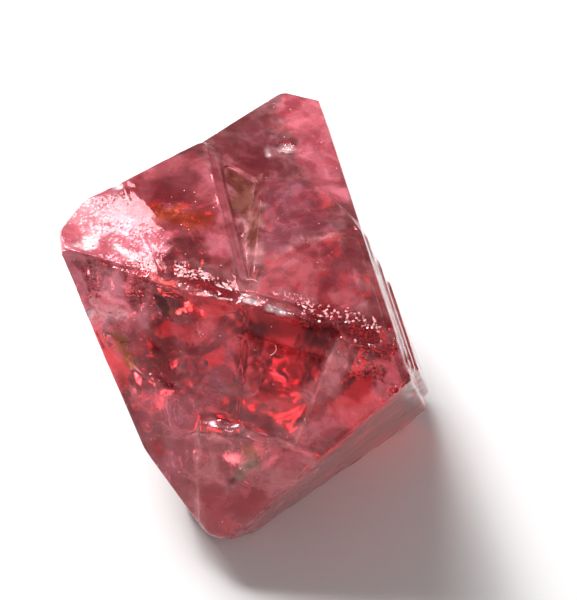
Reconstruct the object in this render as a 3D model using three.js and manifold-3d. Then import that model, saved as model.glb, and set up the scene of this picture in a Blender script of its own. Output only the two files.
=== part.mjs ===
// Raw spinel crystal: a pinkish-red octahedron about 9 mm from corner to corner, lying on one of its
// triangular faces. It grew as several crystals in parallel position, so its broad faces carry stepped
// lobes, a valley and ledges whose walls follow the octahedron's own faces. Its corners are worn and chipped.
//
// Shapes are written in the crystal's own axes a, b and c, in shares of HALF_DIAGONAL. Seen from the front,
// -a points left, +b to the rear, -b to the front and down, and +c up to the right.

import * as THREE from 'three';
import { ConvexGeometry } from 'three/addons/geometries/ConvexGeometry.js';
import { mergeVertices } from 'three/addons/utils/BufferGeometryUtils.js';
import Module from 'manifold-3d';

const wasm = await Module();
wasm.setup();

// Driving dimensions. Lengths are millimetres, reaches are shares of HALF_DIAGONAL.
const HALF_DIAGONAL = 4.6; // from the crystal's centre to a corner of the ideal octahedron
const STEP_ROUNDING = 0.014; // rounding radius of the lobes' own edges
const WORN_ROUNDING = 0.05; // rounding radius of the outer edges and corners
const MERGE_DISTANCE = 1e-4; // mm, below which two corners are one
const SLIVER_WIDTH = 0.006; // mm, below which a strip of surface between two cuts is closed up
const SHELL_DETAIL = 6; // how finely the ball that cuts a shell-shaped break is divided, at least
const SHELL_DETAIL_PER_RADIUS = 26; // and how much more for each HALF_DIAGONAL of its radius

const SPINEL_COLOUR = 0xb5405a;
const SPINEL_ROUGHNESS = 0.25;

// The eight faces of the octahedron, each by the signs of a, b and c that it faces.
const FACE = {
  top: [-1, 1, 1],
  base: [1, -1, -1],
  frontUp: [-1, -1, 1],
  rightUp: [1, 1, 1],
  leftUp: [-1, 1, -1],
  rightDown: [1, -1, 1],
  leftDown: [-1, -1, -1],
  rearDown: [1, 1, -1],
};

// How far the outer faces reach from the centre.
const OUTER_REACH = {
  top: 1.1,
  base: 1.09,
  frontUp: 1.05,
  rightUp: 0.99,
  leftUp: 1.24,
  rightDown: 1.13,
  leftDown: 0.92,
  rearDown: 0.99,
};

const TERRACE_TOP = 1.03; // the floor of the valley in the top face
const REAR_LOBE_TOP = 1.05; // the top of the rear lobe, lower than the lobes in front of it
const WINDOW_FRONT = 1.035; // the clear, slightly sunken field in the middle of the front face
const PLATE_RISE = 0.022; // the height of the thin growth plates on the lobes
const VALLEY_LEFT = 0.2; // a + b + c at the valley's left wall
const FRONT_LEDGE = 0.22; // -a + b + c at the ledge low on the front face
const FRONT_LOBE_REACH = 1.1; // how far the lobe under that ledge stands out
const FREE = 1.4; // a reach past everything, for a face that a wall replaces

/** A plane with its outward direction [a, b, c] and the most that direction . point may be. */
function plane(direction, reach) {
  return { normal: new THREE.Vector3(...direction), reach };
}

/** A plane with its outward direction [a, b, c], through a point of it. */
function planeThrough(direction, point) {
  const normal = new THREE.Vector3(...direction);
  return { normal, reach: normal.dot(new THREE.Vector3(...point)) };
}

// The front face's plates keep to the near side of the ridge from -a to +c.
const RIDGE_LIMIT = plane([0, 1, 0], 0.03);

/** The corners of the convex body that the planes bound. */
function cornersOf(planes) {
  const slack = 1e-7;
  const corners = [];
  for (let i = 0; i < planes.length; i += 1) {
    for (let j = i + 1; j < planes.length; j += 1) {
      for (let k = j + 1; k < planes.length; k += 1) {
        const rows = [planes[i], planes[j], planes[k]];
        const matrix = new THREE.Matrix3().set(...rows.flatMap(({ normal }) => normal.toArray()));
        if (Math.abs(matrix.determinant()) < slack) continue;
        const corner = new THREE.Vector3(...rows.map(({ reach }) => reach)).applyMatrix3(matrix.invert());
        const inside = planes.every(({ normal, reach }) => normal.dot(corner) <= reach + slack);
        if (inside && corners.every((other) => other.distanceTo(corner) > slack)) corners.push(corner);
      }
    }
  }
  return corners;
}

/** Unit directions spread over a ball. They include the octahedron's face directions, so faces stay flat. */
function ballDirections() {
  const steps = [-1, 0, 1];
  const cube = steps.flatMap((x) => steps.flatMap((y) => steps.map((z) => [x, y, z])));
  const between = cube.filter((d) => !d.includes(0)).flatMap(([x, y, z]) => [
    [2 * x, y, z],
    [x, 2 * y, z],
    [x, y, 2 * z],
  ]);
  return [...cube, ...between]
    .filter((d) => d.some((value) => value !== 0))
    .map((d) => new THREE.Vector3(...d).normalize());
}

const BALL = ballDirections();

/** From crystal axes to the part's frame: the top face is level and the ridge from -a to +c runs along X. */
function crystalToPart() {
  const a = new THREE.Vector3(1, 1 / Math.sqrt(3), -Math.sqrt(2 / 3)).multiplyScalar(Math.SQRT1_2);
  const b = new THREE.Vector3(0, 2, Math.SQRT2).divideScalar(Math.sqrt(6));
  const c = new THREE.Vector3().crossVectors(a, b);
  return new THREE.Matrix4().makeBasis(a, b, c).scale(new THREE.Vector3(1, 1, 1).multiplyScalar(HALF_DIAGONAL));
}

const TO_PART = crystalToPart();

/** A closed geometry as a solid that can be joined and cut. */
function solidOf(geometry) {
  geometry.deleteAttribute('normal');
  geometry.deleteAttribute('uv');
  const merged = mergeVertices(geometry, MERGE_DISTANCE);
  return new wasm.Manifold(
    new wasm.Mesh({
      numProp: 3,
      vertProperties: merged.attributes.position.array,
      triVerts: merged.index.array,
    }),
  );
}

/** The convex body that planes bound, with its edges and corners rounded. */
function roundedBody(planes, radius) {
  const shrunk = planes.map(({ normal, reach }) => ({ normal, reach: reach - radius * normal.length() }));
  const rounded = (corner) => BALL.map((direction) => corner.clone().addScaledVector(direction, radius));
  const points = cornersOf(shrunk).flatMap(rounded);
  return solidOf(new ConvexGeometry(points).applyMatrix4(TO_PART));
}

/** The eight faces as planes, at the outer reaches except where `reaches` says otherwise. */
function facePlanes(reaches = {}) {
  return Object.entries(FACE).map(([face, signs]) => plane(signs, reaches[face] ?? OUTER_REACH[face]));
}

/** One crystal of the parallel growth: some faces held back, and walls of its own. */
function growth(reaches, walls = []) {
  return roundedBody([...facePlanes(reaches), ...walls], STEP_ROUNDING);
}

/** The body of the crystal. Its top face is the terrace that the lobes rise from. */
function core() {
  return growth({ top: TERRACE_TOP, frontUp: WINDOW_FRONT, leftUp: 1.12, leftDown: 0.9 });
}

/** The rear lobe: the corner that points away from the viewer, with its own edge on the left. */
function rearLobe() {
  const leftEdge = planeThrough([-1, 0.8, -0.9], [-0.42, 0.686, -0.126]);
  const valleyWall = planeThrough([-1, -0.36, 0.56], [-0.47, 0.618, -0.058]);
  return growth({ top: REAR_LOBE_TOP, leftUp: FREE, rearDown: 1.035 }, [leftEdge, valleyWall]);
}

/** The left lobe of the top face, as far as the valley. */
function leftLobe() {
  const leftEdge = planeThrough([-0.91, 1, -0.96], [-0.934, 0.229, -0.063]);
  const shoulder = planeThrough([-0.63, 1, -0.52], [-0.516, 0.613, -0.029]);
  return growth({ rightUp: VALLEY_LEFT, leftUp: FREE, frontUp: WINDOW_FRONT }, [leftEdge, shoulder]);
}

/** The thin plate on the left lobe, which ends at the broken left corner. */
function leftPlate() {
  const brokenEnd = planeThrough([-1, 0.06, 0.19], [-0.75, 0.2, 0.15]);
  const top = OUTER_REACH.top + PLATE_RISE;
  return growth({ top, rightUp: VALLEY_LEFT - 0.05, leftUp: 1.2, frontUp: 1.02 }, [brokenEnd]);
}

/** The right lobe of the top face, between the valley and the rear lobe. */
function rightLobe() {
  const valleyWall = planeThrough([-1, 0.11, -0.21], [-0.454, 0.07, 0.576]);
  const cornerWall = planeThrough([-1, 0.47, -0.44], [-0.322, 0.546, 0.232]);
  const rearWall = planeThrough([0.23, 1, 0.5], [-0.22, 0.708, 0.171]);
  return growth({ frontUp: WINDOW_FRONT }, [valleyWall, cornerWall, rearWall]);
}

/** The thin plate on the right lobe, nearest to the upper corner. */
function rightPlate() {
  const leftWall = planeThrough([-1, 0.9, -0.62], [-0.416, 0.136, 0.567]);
  const rearWall = planeThrough([0.2, 1, -0.25], [-0.114, 0.411, 0.575]);
  const reaches = { top: OUTER_REACH.top + PLATE_RISE, rightUp: 0.95, frontUp: 1.02 };
  return growth(reaches, [leftWall, rearWall]);
}

/** Growth stairs on the right face, each standing further out and starting lower than the one before. */
function rightStairs() {
  const stairs = 3;
  return Array.from({ length: stairs }, (_, step) => {
    const reaches = { top: 0.88 - 0.17 * step, rightUp: 1.01 + 0.02 * step, rearDown: 1.01 + 0.025 * step };
    return growth({ ...reaches, frontUp: 0.9, rightDown: 1.05 }, [plane([-0.2, 1, 0.08], 0.5 - 0.09 * step)]);
  });
}

/** The low step across the top of the clear field in the front face. */
function windowStep() {
  return growth({ top: 0.875, frontUp: WINDOW_FRONT + 0.008, rightUp: 0.9 }, [RIDGE_LIMIT]);
}

/** The plate on the left of the front face. It stops at the ridge. */
function frontLeftPlate() {
  const windowWall = planeThrough([0.14, -0.33, 1], [-0.468, -0.004, 0.588]);
  return growth({ top: 1.08, frontUp: OUTER_REACH.frontUp + 0.01 }, [windowWall, RIDGE_LIMIT]);
}

/** The plate on the right of the front face, under the upper corner. */
function frontRightPlate() {
  const windowWall = planeThrough([-1, -0.28, -0.12], [-0.194, -0.037, 0.829]);
  return growth({ top: 1.06, frontUp: OUTER_REACH.frontUp + 0.015, rightUp: 0.97 }, [windowWall, RIDGE_LIMIT]);
}

/** The lobe low on the front face, with a ledge along its top and a broken wall on its left. */
function frontLobe() {
  const leftWall = planeThrough([-1, -0.45, -0.43], [-0.376, -0.369, 0.345]);
  return growth({ top: FRONT_LEDGE, frontUp: FRONT_LOBE_REACH, rightDown: 1.11 }, [leftWall]);
}

/** Growth steps on the faces that the front view doesn't show: the left, the rear and the lower left one. */
function hiddenSteps() {
  const leftEdge = plane([-1, 0.5, -0.1], 0.85);
  const leftShoulder = plane([-0.6, 1, 0.1], 0.8);
  const rearEdge = plane([1, 0.2, -0.3], 0.7);
  const lowerEdge = plane([-1, 0.4, 0], 0.55);
  return [
    growth({ leftUp: 1.26, top: 0.7, frontUp: 0.9, leftDown: 0.7 }, [leftEdge]),
    growth({ leftUp: 1.29, top: 0.35, frontUp: 0.9, leftDown: 0.45 }, [leftShoulder]),
    growth({ rearDown: 1.02, top: 0.8, frontUp: 0.9, rightUp: 0.7, leftUp: 0.9 }),
    growth({ rearDown: 1.05, top: 0.6, frontUp: 0.9, rightUp: 0.4, leftUp: 0.75 }, [rearEdge]),
    growth({ leftDown: 0.94, top: 0.6, frontUp: 0.7, leftUp: 0.8 }),
    growth({ leftDown: 0.97, top: 0.2, frontUp: 0.35, leftUp: 0.55 }, [lowerEdge]),
  ];
}

/** The outer shape that wear has left: corners cut back and every outer edge rounded. */
function wornShape() {
  const clearance = 0.03;
  const outer = Object.entries(OUTER_REACH);
  const reaches = Object.fromEntries(outer.map(([face, reach]) => [face, reach + clearance]));
  const sharper = { base: OUTER_REACH.base, leftUp: 1.34, rearDown: 1.07, rightUp: 1.05, frontUp: 1.1 };
  const cornerCuts = [
    plane([-1, -0.3, -0.3], 0.965),
    plane([-1, 0.39, -0.42], 1.03),
    plane([-0.14, 1, 0.21], 1.06),
    plane([-0.64, -1, -0.36], 0.825),
    plane([0.22, -1, 0.1], 0.885),
    plane([1, 0.1, 0.3], 0.945),
    plane([0.1, 0.1, 1], 0.99),
    plane([0, 0.1, -1], 0.93),
  ];
  return roundedBody([...facePlanes({ ...reaches, ...sharper }), ...cornerCuts], WORN_ROUNDING);
}

/** A shell-shaped break: a shallow bowl `depth` deep, sunk into the surface at `at`, open towards `facing`. */
function shellBreak({ at, facing, radius, depth }) {
  const outward = new THREE.Vector3(...facing).normalize();
  const centre = new THREE.Vector3(...at).addScaledVector(outward, radius - depth);
  const detail = Math.round(SHELL_DETAIL + SHELL_DETAIL_PER_RADIUS * radius);
  const ball = new THREE.IcosahedronGeometry(radius, detail);
  return solidOf(ball.translate(...centre.toArray()).applyMatrix4(TO_PART));
}

/** The broad breaks: two in the left corner, and the rest along the lower edges. */
function shellBreaks() {
  return [
    { at: [-0.87, 0.166, 0.065], facing: [-1, 1, 1], radius: 0.62, depth: 0.022 },
    { at: [-0.86, -0.07, 0.13], facing: [-1, -0.8, 0.8], radius: 0.5, depth: 0.022 },
    { at: [-0.2, -0.75, -0.05], facing: [-0.6, -1, 0], radius: 0.45, depth: 0.03 },
    { at: [0.97, 0, 0.02], facing: [1, 0.1, 0], radius: 0.35, depth: 0.03 },
    { at: [0.1, -0.02, -0.93], facing: [0.1, 0, -1], radius: 0.35, depth: 0.03 },
    { at: [-0.62, 0.1, -0.52], facing: [-1, 0.1, -0.9], radius: 0.5, depth: 0.04 },
  ];
}

/** A repeatable stream of numbers from 0 to 1, by the Park and Miller rule. */
function numberStream(seed) {
  const multiplier = 16807;
  const modulus = 2147483647;
  let state = seed;
  return () => {
    state = (state * multiplier) % modulus;
    return state / modulus;
  };
}

/** One flat-sided chip, turned as the numbers from `next` say and drawn out along an edge. */
function chip(middle, radius, along, outward, next) {
  const angle = () => 2 * Math.PI * next();
  const shape = new THREE.IcosahedronGeometry(radius, 0).rotateX(angle()).rotateY(angle()).rotateZ(angle());
  const lieAlong = new THREE.Matrix4().lookAt(new THREE.Vector3(), along, outward);
  const drawnOut = new THREE.Matrix4().makeScale(1, 0.8, 1 + next());
  return solidOf(
    shape.applyMatrix4(lieAlong.multiply(drawnOut)).translate(...middle.toArray()).applyMatrix4(TO_PART),
  );
}

/** Small chips knocked out of an edge that runs from one point to another, each about `size` in radius. */
function edgeChips({ from, to, count, size, seed }) {
  const next = numberStream(seed);
  const between = (low, high) => low + (high - low) * next();
  const start = new THREE.Vector3(...from);
  const end = new THREE.Vector3(...to);
  const along = end.clone().sub(start).normalize();
  return Array.from({ length: count }, (_, i) => {
    const middle = start.clone().lerp(end, (i + between(0.2, 0.8)) / count);
    const radius = size * between(0.5, 1.3);
    const outward = middle.clone().addScaledVector(along, -middle.dot(along)).normalize();
    middle.addScaledVector(outward, radius * between(0.35, 0.65));
    return chip(middle, radius, along, outward, next);
  });
}

/** The chipped edges: the ridge left and right of its sharp stretch, under the upper corner, and the foot. */
function chips() {
  const ridgeLeft = { from: [-0.77, 0.03, 0.3], to: [-0.52, 0.03, 0.55], count: 7, size: 0.05, seed: 11 };
  const ridgeRight = { from: [-0.3, 0.03, 0.77], to: [-0.07, 0.04, 0.98], count: 6, size: 0.045, seed: 5 };
  const underCorner = { from: [0.03, -0.1, 0.96], to: [-0.01, -0.4, 0.72], count: 5, size: 0.04, seed: 23 };
  const baseEdge = { from: [0.9, -0.18, 0.02], to: [0.36, -0.74, 0.02], count: 5, size: 0.04, seed: 31 };
  return [ridgeLeft, ridgeRight, underCorner, baseEdge].flatMap(edgeChips);
}

/** The largest of a solid's separate bodies, without the crumbs that the chips have cut loose. */
function largestBody(solid) {
  return solid.decompose().reduce((largest, body) => (body.volume() > largest.volume() ? body : largest));
}

/** The whole crystal: its lobes and plates joined, worn, and chipped. */
function crystal() {
  const lobes = [
    core(),
    rearLobe(),
    leftLobe(),
    leftPlate(),
    rightLobe(),
    rightPlate(),
    ...rightStairs(),
    windowStep(),
    frontLeftPlate(),
    frontRightPlate(),
    frontLobe(),
    ...hiddenSteps(),
  ];
  const grown = lobes.reduce((joined, lobe) => joined.add(lobe)).intersect(wornShape());
  const lost = [...shellBreaks().map(shellBreak), ...chips()];
  const chipped = lost.reduce((left, piece) => left.subtract(piece), grown);
  return largestBody(chipped).simplify(SLIVER_WIDTH);
}

/** A solid as a geometry that stands on z = 0, with its box centred on the origin. */
function placedGeometry(solid) {
  const { vertProperties, triVerts } = solid.getMesh();
  const geometry = new THREE.BufferGeometry();
  geometry.setAttribute('position', new THREE.BufferAttribute(vertProperties, 3));
  geometry.setIndex(new THREE.BufferAttribute(triVerts, 1));
  geometry.computeBoundingBox();
  const { min, max } = geometry.boundingBox;
  geometry.translate(-(min.x + max.x) / 2, -(min.y + max.y) / 2, -min.z);
  geometry.computeVertexNormals();
  return geometry;
}

const spinel = new THREE.Mesh(
  placedGeometry(crystal()),
  new THREE.MeshStandardMaterial({ color: SPINEL_COLOUR, roughness: SPINEL_ROUGHNESS, metalness: 0 }),
);
spinel.name = 'spinel_crystal';

const part = new THREE.Group();
part.add(spinel);

export default part;
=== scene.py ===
"""Raw spinel crystal, dressed for the camera.

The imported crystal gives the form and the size. Over it lies a finer skin with growth relief, etch pits,
splintered breaks and worn edges. The open cracks belong to the skin. Dark grains lie under the front face,
and lint lies on the faces.
All places on the crystal are written in its own axes a, b and c, in shares of its half diagonal.
"""

import logging
import math
import random
from dataclasses import dataclass, field
from enum import Enum
from typing import ClassVar

import bmesh
import bpy
from mathutils import Matrix, Vector, kdtree, noise


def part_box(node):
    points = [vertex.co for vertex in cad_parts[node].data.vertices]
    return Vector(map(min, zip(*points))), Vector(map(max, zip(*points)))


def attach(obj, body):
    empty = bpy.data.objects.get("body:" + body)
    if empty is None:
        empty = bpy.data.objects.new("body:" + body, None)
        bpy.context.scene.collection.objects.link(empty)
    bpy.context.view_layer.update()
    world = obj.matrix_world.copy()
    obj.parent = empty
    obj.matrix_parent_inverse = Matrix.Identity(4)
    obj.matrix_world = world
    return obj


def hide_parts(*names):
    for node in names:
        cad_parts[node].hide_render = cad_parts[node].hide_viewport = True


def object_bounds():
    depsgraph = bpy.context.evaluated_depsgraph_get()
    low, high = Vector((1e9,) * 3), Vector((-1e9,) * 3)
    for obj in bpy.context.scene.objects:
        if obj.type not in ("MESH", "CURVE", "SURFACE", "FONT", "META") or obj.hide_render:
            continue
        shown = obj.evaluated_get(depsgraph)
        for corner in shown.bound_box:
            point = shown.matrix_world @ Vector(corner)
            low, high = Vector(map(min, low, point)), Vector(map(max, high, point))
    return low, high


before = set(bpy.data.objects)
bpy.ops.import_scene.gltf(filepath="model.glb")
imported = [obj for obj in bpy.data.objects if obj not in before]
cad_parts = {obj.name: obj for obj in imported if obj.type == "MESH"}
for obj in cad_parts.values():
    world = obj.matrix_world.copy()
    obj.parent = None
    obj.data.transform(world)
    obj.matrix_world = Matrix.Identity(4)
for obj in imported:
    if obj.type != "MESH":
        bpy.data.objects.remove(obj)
CAD_BOX = [list(corner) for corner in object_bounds()]
NODE = "spinel_crystal"
BODY = "root"

MM = 0.001
Shares = tuple[float, float, float]
Colour = tuple[float, float, float]
Span = tuple[float, float]
Layers = tuple[Span, ...]
Feed = bpy.types.NodeSocket | float | tuple

WHITE: Colour = (1.0, 1.0, 1.0)
NOWHERE = Vector((0.0, 0.0, 0.0))

log = logging.getLogger("spinel")


class Face(Enum):
    """The octahedron's faces, each by the signs of a, b and c that it faces."""

    TOP = (-1, 1, 1)
    BASE = (1, -1, -1)
    FRONT = (-1, -1, 1)
    RIGHT = (1, 1, 1)
    LEFT = (-1, 1, -1)
    RIGHT_UNDER = (1, -1, 1)
    LEFT_UNDER = (-1, -1, -1)
    REAR = (1, 1, -1)


@dataclass(frozen=True)
class CrystalAxes:
    """Where the crystal's axes lie in the part's frame.

    The top and base faces are level, and the edge from -a to +c runs along X. centre_x and centre_y are how
    far the ideal octahedron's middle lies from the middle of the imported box. base_reach is how far the base
    face lies from that middle, against 1 on the ideal octahedron.
    """

    half_diagonal: float = 4.6 * MM
    base_reach: float = 1.09
    centre_x: float = 0.0325 * MM
    centre_y: float = -0.1021 * MM

    @property
    def centre(self) -> Vector:
        """The middle of the ideal octahedron, in metres."""
        return Vector((self.centre_x, self.centre_y, self.base_reach / math.sqrt(3) * self.half_diagonal))

    @property
    def turn(self) -> Matrix:
        """The rotation that takes directions in a, b and c to the part's frame."""
        a = Vector((1, 1 / math.sqrt(3), -math.sqrt(2 / 3))) * math.sqrt(0.5)
        b = Vector((0, 2, math.sqrt(2))) / math.sqrt(6)
        return Matrix((a, b, a.cross(b))).transposed()

    def point(self, shares: Shares) -> Vector:
        """The place in metres of a point given in a, b and c."""
        return self.centre + self.turn @ Vector(shares) * self.half_diagonal

    def direction(self, signs: Shares) -> Vector:
        """The unit direction in the part's frame of a direction given in a, b and c."""
        return (self.turn @ Vector(signs)).normalized()

    def shares(self, point: Vector) -> Vector:
        """A place in metres as a, b and c in shares of the half diagonal."""
        return self.turn.transposed() @ (point - self.centre) / self.half_diagonal


AXES = CrystalAxes()


def face_frame(face: Face) -> tuple[Vector, Vector]:
    """The unit directions along X and up a face, in the part's frame.

    Args:
        face: The face.

    Returns:
        Both directions; with the outward normal they are right-handed.
    """
    outward = AXES.direction(face.value)
    along = Vector((1.0, 0.0, 0.0))
    along = (along - outward * along.dot(outward)).normalized()
    return along, outward.cross(along)


def smooth_step(low: float, high: float, value: float) -> float:
    """Rises smoothly from 0 at low to 1 at high.

    Args:
        low: The value at which the result is 0.
        high: The value at which the result is 1; it may be the lower one.
        value: The value to judge.

    Returns:
        A number from 0 to 1.
    """
    t = min(1.0, max(0.0, (value - low) / (high - low)))
    return t * t * (3 - 2 * t)


def layered(place: Vector, layers: Layers, spread: float = 1.0, offset: Vector = NOWHERE) -> float:
    """Adds up layers of noise.

    Args:
        place: The place.
        layers: For each layer, how fine it is and its share.
        spread: How far the whole pattern is spread out.
        offset: Where in the noise it starts.

    Returns:
        The sum, which is between the shares' sum and its opposite.
    """
    return sum(share * noise.noise(place * (scale / spread) + offset) for scale, share in layers)


def segment_distance(point: Vector, start: Vector, end: Vector) -> float:
    """How far a point is from a straight stretch.

    Args:
        point: The point.
        start: One end of the stretch.
        end: Its other end.

    Returns:
        The distance, in the units of the points.
    """
    along = end - start
    length = along.length_squared
    share = 0.0 if length == 0 else min(1.0, max(0.0, (point - start).dot(along) / length))
    return (point - start - along * share).length


def placed(name: str, data: bpy.types.ID) -> bpy.types.Object:
    """Puts a mesh, a light or a camera in the scene as an object of the given name."""
    thing = bpy.data.objects.new(name, data)
    bpy.context.scene.collection.objects.link(thing)
    return thing


def offset_of(seed: int, steps: Shares) -> Vector:
    """The place in the noise at which a seed starts."""
    return Vector([seed * step for step in steps])


def add_mesh(whole: bmesh.types.BMesh, part: bmesh.types.BMesh) -> None:
    """Adds one mesh to another and frees it.

    Args:
        whole: The mesh that grows.
        part: The mesh that is added.
    """
    carrier = bpy.data.meshes.new("carrier")
    part.to_mesh(carrier)
    part.free()
    whole.from_mesh(carrier)
    bpy.data.meshes.remove(carrier)


def piece_of(bm: bmesh.types.BMesh, name: str, material: bpy.types.Material) -> bpy.types.Object:
    """Turns a finished mesh into a smooth piece.

    Args:
        bm: The mesh, which is freed.
        name: The piece's name.
        material: Its material.

    Returns:
        The piece's object.
    """
    mesh = bpy.data.meshes.new(name)
    bm.to_mesh(mesh)
    bm.free()
    mesh.shade_smooth()
    mesh.materials.append(material)
    return placed(name, mesh)


class Bench:
    """A material's nodes, with short calls for the ones that the finishes share."""

    def __init__(self, name: str) -> None:
        """Starts an empty material.

        Args:
            name: The material's name.
        """
        self.material = bpy.data.materials.new(name)
        self.material.use_nodes = True
        self.tree = self.material.node_tree
        self.tree.nodes.clear()
        self.output = self.tree.nodes.new("ShaderNodeOutputMaterial")

    def add(self, kind: str, **settings: object) -> bpy.types.Node:
        """Adds a node.

        Args:
            kind: The node's type name.
            **settings: Its properties.

        Returns:
            The node.
        """
        node = self.tree.nodes.new(kind)
        for name, value in settings.items():
            setattr(node, name, value)
        return node

    def feed(self, socket: bpy.types.NodeSocket, value: Feed) -> None:
        """Links a socket to another, or sets its value.

        Args:
            socket: The input to fill.
            value: An output socket, a number or a tuple.
        """
        if isinstance(value, bpy.types.NodeSocket):
            self.tree.links.new(value, socket)
        else:
            socket.default_value = value

    def crystal_place(self) -> bpy.types.NodeSocket:
        """Object coordinates turned and scaled to the crystal's a, b and c.

        Returns:
            A vector socket in shares of the half diagonal.
        """
        turn = AXES.turn.transposed()
        mapping = self.add("ShaderNodeMapping", vector_type="POINT")
        mapping.inputs["Scale"].default_value = (1 / AXES.half_diagonal,) * 3
        mapping.inputs["Rotation"].default_value = turn.to_euler("XYZ")
        mapping.inputs["Location"].default_value = -(turn @ AXES.centre) / AXES.half_diagonal
        self.feed(mapping.inputs["Vector"], self.add("ShaderNodeTexCoord").outputs["Object"])
        return mapping.outputs["Vector"]

    def number(self, operation: str, *values: Feed, clamp: bool = False) -> bpy.types.NodeSocket:
        """Does arithmetic on numbers.

        Args:
            operation: The Math node's operation.
            *values: Its inputs.
            clamp: Whether the result is kept from 0 to 1.

        Returns:
            The result.
        """
        node = self.add("ShaderNodeMath", operation=operation, use_clamp=clamp)
        for socket, value in zip(node.inputs, values):
            self.feed(socket, value)
        return node.outputs["Value"]

    def along(self, place: Feed, direction: Shares) -> bpy.types.NodeSocket:
        """Measures how far a place lies along a direction.

        Args:
            place: The place.
            direction: The direction.

        Returns:
            The dot product of the two.
        """
        node = self.add("ShaderNodeVectorMath", operation="DOT_PRODUCT")
        self.feed(node.inputs[0], place)
        self.feed(node.inputs[1], direction)
        return node.outputs["Value"]

    def grain(
        self, place: Feed, scale: float, detail: float = 3.0, rough: float = 0.55, twist: float = 0.0
    ) -> bpy.types.NodeSocket:
        """Adds noise.

        Args:
            place: The coordinates.
            scale: How fine it is, per unit of the coordinates.
            detail: How many finer layers it has.
            rough: How strong those layers are.
            twist: How much it is distorted.

        Returns:
            A number from 0 to 1.
        """
        node = self.add("ShaderNodeTexNoise")
        self.feed(node.inputs["Vector"], place)
        for name, value in zip(("Scale", "Detail", "Roughness", "Distortion"), (scale, detail, rough, twist)):
            node.inputs[name].default_value = value
        return node.outputs["Fac"]

    def voronoi(self, place: Feed, scale: float) -> bpy.types.Node:
        """Adds a cell pattern; scale says how fine it is, per unit of the coordinates."""
        node = self.add("ShaderNodeTexVoronoi", feature="F1")
        self.feed(node.inputs["Vector"], place)
        node.inputs["Scale"].default_value = scale
        return node

    def cells(self, place: Feed, scale: float) -> bpy.types.NodeSocket:
        """Measures how far a place is from the middle of its cell."""
        return self.voronoi(place, scale).outputs["Distance"]

    def vector(self, operation: str, first: Feed, second: Feed) -> bpy.types.NodeSocket:
        """Does arithmetic on two vectors.

        Args:
            operation: The Vector Math node's operation.
            first: The first vector.
            second: The second one.

        Returns:
            The resulting vector.
        """
        node = self.add("ShaderNodeVectorMath", operation=operation)
        self.feed(node.inputs[0], first)
        self.feed(node.inputs[1], second)
        return node.outputs["Vector"]

    def facets(self, place: Feed, scale: float, strength: Feed) -> bpy.types.NodeSocket:
        """Tilts the surface by a different amount in each small cell.

        Args:
            place: The coordinates.
            scale: How small the cells are, per unit of the coordinates.
            strength: How far they tilt.

        Returns:
            The normal.
        """
        centred = self.vector("SUBTRACT", self.voronoi(place, scale).outputs["Color"], (0.5, 0.5, 0.5))
        tilt = self.add("ShaderNodeVectorMath", operation="SCALE")
        self.feed(tilt.inputs[0], centred)
        self.feed(tilt.inputs["Scale"], strength)
        level = self.add("ShaderNodeNewGeometry").outputs["Normal"]
        unit = self.add("ShaderNodeVectorMath", operation="NORMALIZE")
        self.feed(unit.inputs[0], self.vector("ADD", level, tilt.outputs["Vector"]))
        return unit.outputs["Vector"]

    def range(
        self, value: Feed, low: float, high: float, to_low: float = 0.0, to_high: float = 1.0
    ) -> bpy.types.NodeSocket:
        """Moves a number smoothly from one range to another.

        Args:
            value: The number.
            low: The start of its range.
            high: The end of its range.
            to_low: What low becomes.
            to_high: What high becomes.

        Returns:
            The moved number.
        """
        node = self.add("ShaderNodeMapRange", interpolation_type="SMOOTHSTEP")
        self.feed(node.inputs["Value"], value)
        for name, bound in zip(("From Min", "From Max", "To Min", "To Max"), (low, high, to_low, to_high)):
            node.inputs[name].default_value = bound
        return node.outputs["Result"]

    def blend(self, share: Feed, first: Feed, second: Feed, kind: str = "MIX") -> bpy.types.NodeSocket:
        """Blends two colours.

        Args:
            share: How much of the second there is.
            first: The first colour.
            second: The second colour.
            kind: The Mix node's way of blending.

        Returns:
            The blended colour.
        """
        node = self.add("ShaderNodeMix", data_type="RGBA", blend_type=kind)
        colours = [socket for socket in node.inputs if socket.type == "RGBA"]
        self.feed(node.inputs["Factor"], share)
        for socket, value in zip(colours, (first, second)):
            self.feed(socket, (*value, 1.0) if isinstance(value, tuple) else value)
        return next(socket for socket in node.outputs if socket.type == "RGBA")

    def painted(self, name: str, kind: str = "Fac") -> bpy.types.NodeSocket:
        """Reads what was painted on the mesh: kind is Fac for a number and Color for a colour."""
        return self.add("ShaderNodeAttribute", attribute_name=name).outputs[kind]

    def relief(
        self, height: Feed, depth: float, under: Feed, strength: Feed = 1.0
    ) -> bpy.types.NodeSocket:
        """Adds fine relief to the surface.

        Args:
            height: The height pattern.
            depth: How deep it is at full height, in metres.
            under: The normal that it is laid over.
            strength: How much of it shows.

        Returns:
            The new normal.
        """
        node = self.add("ShaderNodeBump")
        node.inputs["Distance"].default_value = depth
        self.feed(node.inputs["Strength"], strength)
        self.feed(node.inputs["Height"], height)
        self.feed(node.inputs["Normal"], under)
        return node.outputs["Normal"]

    def surface(self, **inputs: Feed) -> None:
        """Adds the surface shader.

        Args:
            **inputs: Its inputs, with underscores for spaces in their names.
        """
        node = self.add("ShaderNodeBsdfPrincipled")
        for name, value in inputs.items():
            self.feed(node.inputs[name.replace("_", " ")], value)
        self.feed(self.output.inputs["Surface"], node.outputs["BSDF"])


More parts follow.
